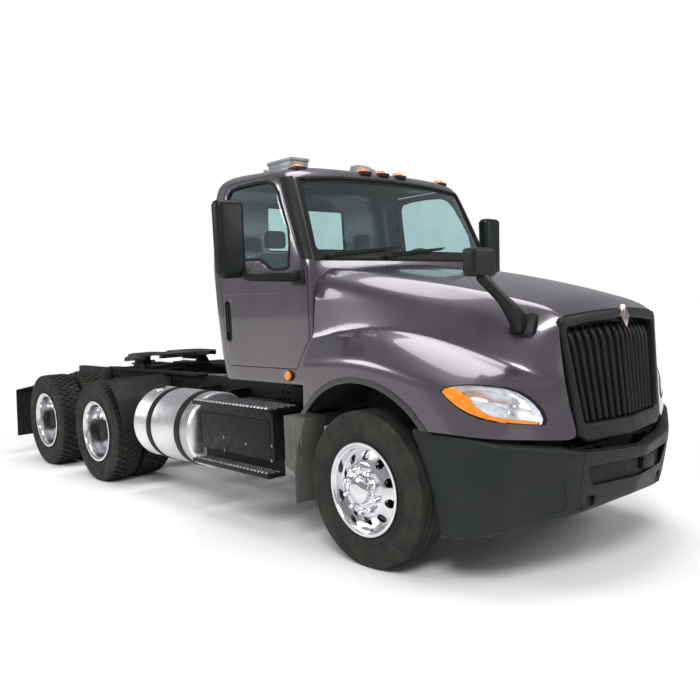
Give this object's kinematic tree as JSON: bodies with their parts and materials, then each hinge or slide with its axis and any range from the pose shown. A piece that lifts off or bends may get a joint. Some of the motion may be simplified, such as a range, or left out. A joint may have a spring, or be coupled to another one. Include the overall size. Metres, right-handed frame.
{
  "type": "day cab semi truck tractor unit",
  "caption": "Day-cab highway tractor unit with sloped tilting hood, hinged doors, steered front wheels, twin rear drive axles and a sliding, tilting fifth wheel.",
  "frame": {"origin": "centre of the bounding box at ground level under the tyres", "axes": "nose toward -Y, driver's side +X, up +Z"},
  "size_m": [3.16, 7.545, 2.85],
  "materials": {
    "paint": "metallic clear coat",
    "chassis_black": "satin chassis paint",
    "engine_grey": "satin",
    "cast_iron": "cast, painted black",
    "polished_aluminium": "polished",
    "black_plastic": "fine grain",
    "grey_plastic": "moulded grain",
    "rubber": "matte",
    "tyre": "matte",
    "glass": "clear, lightly tinted",
    "interior_plastic": "soft grain",
    "seat_fabric": "woven",
    "lamp_lens": "clear moulded lens",
    "amber_lens": "translucent amber"
  },
  "bodies": {
    "chassis": {"frame_rails": "chassis_black", "crossmembers": "chassis_black", "powertrain": "engine_grey", "radiator": "chassis_black", "front_axle": "cast_iron", "rear_axles_and_shafts": "cast_iron", "front_springs": "chassis_black", "rear_suspension": "chassis_black", "fuel_tanks": "polished_aluminium", "tank_straps": "chassis_black", "step_boxes": "chassis_black", "splash_guards": "black_plastic", "quarter_fenders": "black_plastic", "mud_flaps": "rubber", "slide_rails": "chassis_black", "bumper": "grey_plastic", "cab_shell": "paint", "cab_glass": "glass", "dashboard": "interior_plastic", "seats": "seat_fabric", "marker_lamps": "amber_lens", "roof_fittings": "grey_plastic"},
    "hood": {"hood": "paint", "grille": "black_plastic", "headlamps": "lamp_lens", "hood_mirror": "black_plastic"},
    "door_right": {"door_right": "paint", "door_glass_right": "glass", "mirror_right": "black_plastic"},
    "door_left": {"door_left": "paint", "door_glass_left": "glass", "mirror_left": "black_plastic"},
    "knuckle_right": {"knuckle_right": "cast_iron"},
    "knuckle_left": {"knuckle_left": "cast_iron"},
    "wheel_front_right": {"tyre_front_right": "tyre", "wheel_front_right": "polished_aluminium"},
    "wheel_front_left": {"tyre_front_left": "tyre", "wheel_front_left": "polished_aluminium"},
    "steering_wheel": {"steering_wheel": "interior_plastic"},
    "fifth_wheel_slider": {"fifth_wheel_saddle": "cast_iron"},
    "fifth_wheel_top": {"fifth_wheel_plate": "cast_iron"},
    "wheels_middle_right": {"tyres_middle_right": "tyre", "wheels_middle_right": "polished_aluminium"},
    "wheels_middle_left": {"tyres_middle_left": "tyre", "wheels_middle_left": "polished_aluminium"},
    "wheels_rear_right": {"tyres_rear_right": "tyre", "wheels_rear_right": "polished_aluminium"},
    "wheels_rear_left": {"tyres_rear_left": "tyre", "wheels_rear_left": "polished_aluminium"}
  },
  "joints": [
    {"name": "hood_tilt", "type": "hinge", "parent": "chassis", "child": "hood", "pos_m": [0, -3.6475, 0.772], "axis": [1, 0, 0], "range_deg": [0, 60]},
    {"name": "door_right_swing", "type": "hinge", "parent": "chassis", "child": "door_right", "pos_m": [-1.056, -1.7985, 1.6], "axis": [0, 0, 1], "range_deg": [0, 70]},
    {"name": "door_left_swing", "type": "hinge", "parent": "chassis", "child": "door_left", "pos_m": [1.056, -1.7985, 1.6], "axis": [0, 0, -1], "range_deg": [0, 70]},
    {"name": "steer_left", "type": "hinge", "parent": "chassis", "child": "knuckle_left", "pos_m": [0.93, -2.4325, 0.51], "axis": [0, 0, 1], "range_deg": [-35, 35]},
    {"name": "steer_right", "type": "hinge", "parent": "chassis", "child": "knuckle_right", "pos_m": [-0.93, -2.4325, 0.51], "axis": [0, 0, 1], "range_deg": [-35, 35]},
    {"name": "steering_wheel_turn", "type": "hinge", "parent": "chassis", "child": "steering_wheel", "pos_m": [0.5, -1.3575, 1.96], "axis": [0, 0.8192, 0.5736], "range_deg": [-640, 640]},
    {"name": "spin_front_left", "type": "hinge", "parent": "knuckle_left", "child": "wheel_front_left", "pos_m": [1.031, -2.4325, 0.51], "axis": [1, 0, 0], "continuous": true},
    {"name": "spin_front_right", "type": "hinge", "parent": "knuckle_right", "child": "wheel_front_right", "pos_m": [-1.031, -2.4325, 0.51], "axis": [1, 0, 0], "continuous": true},
    {"name": "spin_middle_right", "type": "hinge", "parent": "chassis", "child": "wheels_middle_right", "pos_m": [-0.908, 1.4795, 0.51], "axis": [1, 0, 0], "continuous": true},
    {"name": "spin_middle_left", "type": "hinge", "parent": "chassis", "child": "wheels_middle_left", "pos_m": [0.908, 1.4795, 0.51], "axis": [1, 0, 0], "continuous": true},
    {"name": "spin_rear_right", "type": "hinge", "parent": "chassis", "child": "wheels_rear_right", "pos_m": [-0.908, 2.7995, 0.51], "axis": [1, 0, 0], "continuous": true},
    {"name": "spin_rear_left", "type": "hinge", "parent": "chassis", "child": "wheels_rear_left", "pos_m": [0.908, 2.7995, 0.51], "axis": [1, 0, 0], "continuous": true},
    {"name": "fifth_wheel_slide", "type": "slide", "parent": "chassis", "child": "fifth_wheel_slider", "axis": [0, 1, 0], "range_m": [-0.6, 0.15]},
    {"name": "fifth_wheel_tilt", "type": "hinge", "parent": "fifth_wheel_slider", "child": "fifth_wheel_top", "pos_m": [0, 2.0175, 1.15], "axis": [1, 0, 0], "range_deg": [-11, 11]}
  ],
  "couplings": [
    {"joint": "steer_right", "follows": "steer_left", "ratio": 1},
    {"joint": "steering_wheel_turn", "follows": "steer_left", "ratio": 18}
  ]
}
